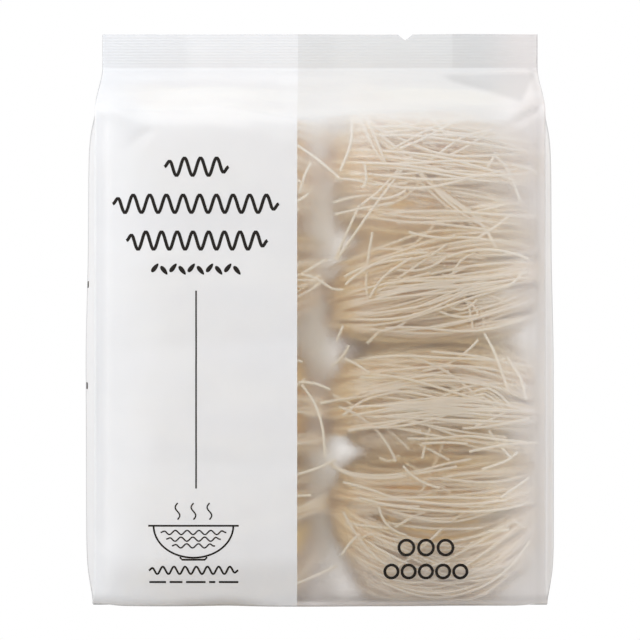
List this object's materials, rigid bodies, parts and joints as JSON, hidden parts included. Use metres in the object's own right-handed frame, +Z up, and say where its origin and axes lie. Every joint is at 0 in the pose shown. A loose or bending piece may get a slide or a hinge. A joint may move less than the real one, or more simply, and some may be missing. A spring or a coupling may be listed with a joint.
{
  "type": "sealed pack of dried rice vermicelli nests",
  "caption": "Upright side-gusset film pack of dried rice vermicelli nests, half white and half clear matte film, with a crimped top seal and a flat folded base.",
  "frame": {"origin": "middle of the flat base, on the surface that the pack stands on", "axes": "+Z up to the top seal, -Y out of the front panel, +X to the right as the front is seen, where the film is clear"},
  "size_m": [0.1888, 0.0738, 0.228],
  "materials": {
    "white_film": "matte polypropylene film printed solid white",
    "clear_film": "matte polypropylene film, unprinted and see-through",
    "ink": "printed charcoal ink",
    "rice_noodle": "dried rice noodle, cream and slightly translucent"
  },
  "bodies": {
    "root": {"pack": "white_film"}
  },
  "joints": []
}
